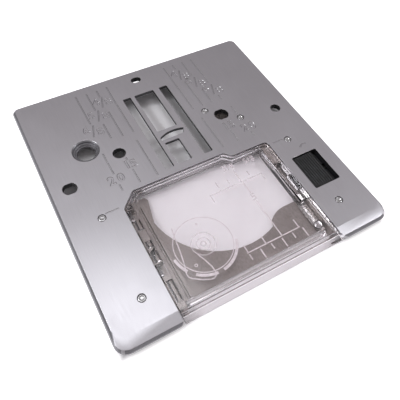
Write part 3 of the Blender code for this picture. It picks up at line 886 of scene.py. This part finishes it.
def makeFloor():
    clearSelection()
    bpy.ops.mesh.primitive_plane_add(size=studio["floorSize"], location=(0, 0, 0))
    floor = bpy.context.object
    floor.name = "floor"
    material, tree, shader, where = newMaterial("paleFloor")
    noise = addNode(tree, "ShaderNodeTexNoise")
    noise.inputs["Scale"].default_value = studio["floorGrain"]
    tree.links.new(where, noise.inputs["Vector"])
    low = studio["floorColour"]
    tree.links.new(shadeBetween(tree, noise.outputs["Fac"], low, tuple(c + 0.01 for c in low)),
                   shader.inputs["Base Color"])
    shader.inputs["Roughness"].default_value = 0.9
    split = addNode(tree, "ShaderNodeSeparateXYZ")
    tree.links.new(where, split.inputs[0])
    away = []
    for i in (0, 1):
        distance = maths(tree, "ABSOLUTE", split.outputs[i], 0)
        away.append(maths(tree, "SUBTRACT", distance, cadBox[1][i]))
    # painted light: the floor's glow is full away from the object and gone beneath it, which paints its
    # shade on the floor
    lift = addNode(tree, "ShaderNodeMapRange", interpolation_type="SMOOTHSTEP")
    lift.inputs["From Min"].default_value = studio["glowStart"] * mm
    lift.inputs["From Max"].default_value = studio["glowEnd"] * mm
    lift.inputs["To Max"].default_value = studio["glow"]
    tree.links.new(maths(tree, "MAXIMUM", *away), lift.inputs["Value"])
    shader.inputs["Emission Color"].default_value = studio["glowColour"]
    tree.links.new(lift.outputs[0], shader.inputs["Emission Strength"])
    floor.data.materials.append(material)
    return floor


def addSoftbox(name, place, aim, size, power):
    data = bpy.data.lights.new(name, "AREA")
    data.shape = "RECTANGLE"
    data.size, data.size_y = size
    data.energy = power
    data.color = studio["lampTint"]
    data.use_nodes = True          # fade out towards the edges, so that no hard edge is mirrored
    tree = data.node_tree
    where = addNode(tree, "ShaderNodeNewGeometry")
    offset = addNode(tree, "ShaderNodeVectorMath", operation="DISTANCE")
    tree.links.new(where.outputs["Parametric"], offset.inputs[0])
    offset.inputs[1].default_value = (0.5, 0.5, 0)
    fade = addNode(tree, "ShaderNodeMapRange", interpolation_type="SMOOTHSTEP")
    fade.inputs["From Min"].default_value = studio["fadeEdge"]
    fade.inputs["From Max"].default_value = studio["fadeHeart"]
    fade.inputs["To Max"].default_value = studio["heart"]
    tree.links.new(offset.outputs["Value"], fade.inputs["Value"])
    tree.links.new(fade.outputs[0], tree.nodes["Emission"].inputs["Strength"])
    lamp = bpy.data.objects.new(name, data)
    bpy.context.scene.collection.objects.link(lamp)
    lamp.location = at(*place)
    lamp.rotation_euler = (at(*aim) - at(*place)).to_track_quat("-Z", "Y").to_euler()
    return lamp


def lightTheScene():
    # a pale room, darker towards the horizon, and three softboxes
    world = bpy.data.worlds.new("studio")
    bpy.context.scene.world = world
    world.use_nodes = True
    tree = world.node_tree
    where = addNode(tree, "ShaderNodeTexCoord")
    split = addNode(tree, "ShaderNodeSeparateXYZ")
    tree.links.new(where.outputs["Generated"], split.inputs[0])
    rise = addNode(tree, "ShaderNodeMapRange")
    rise.inputs["From Max"].default_value = studio["zenithHeight"]
    tree.links.new(split.outputs["Z"], rise.inputs["Value"])
    colour = shadeBetween(tree, rise.outputs[0], studio["horizon"], studio["zenith"])
    seen = addNode(tree, "ShaderNodeLightPath")      # the camera sees the floor's white beyond its edge
    backdrop = addNode(tree, "ShaderNodeMix", data_type="RGBA")
    tree.links.new(seen.outputs["Is Camera Ray"], backdrop.inputs["Factor"])
    tree.links.new(colour, backdrop.inputs["A"])
    backdrop.inputs["B"].default_value = (1, 1, 1, 1)
    tree.links.new(backdrop.outputs["Result"], tree.nodes["Background"].inputs["Color"])
    for name, (place, aim, size, power) in studio["boxes"].items():
        addSoftbox(name, place, aim, size, power)


view = {
    "place": (-35.48, -25.95, 89.12),
    "heading": -32.97,
    "tilt": 32.93,
    "roll": 4.63,
    "lens": 38.06,
    "sensor": 36.0,
}


def placeCamera():
    data = bpy.data.cameras.new("camera")
    data.lens = view["lens"]
    data.sensor_width = view["sensor"]
    data.clip_start = 0.002
    data.clip_end = 20
    camera = bpy.data.objects.new("camera", data)
    bpy.context.scene.collection.objects.link(camera)
    turn = (Matrix.Rotation(math.radians(view["heading"]), 4, "Z")
            @ Matrix.Rotation(math.radians(view["tilt"]), 4, "X")
            @ Matrix.Rotation(math.radians(view["roll"]), 4, "Z"))
    camera.matrix_world = Matrix.Translation(at(*view["place"])) @ turn
    bpy.context.scene.camera = camera


makeFloor()
lightTheScene()
placeCamera()
bpy.context.scene.view_settings.view_transform = "Standard"
print("floor, light and camera ready")
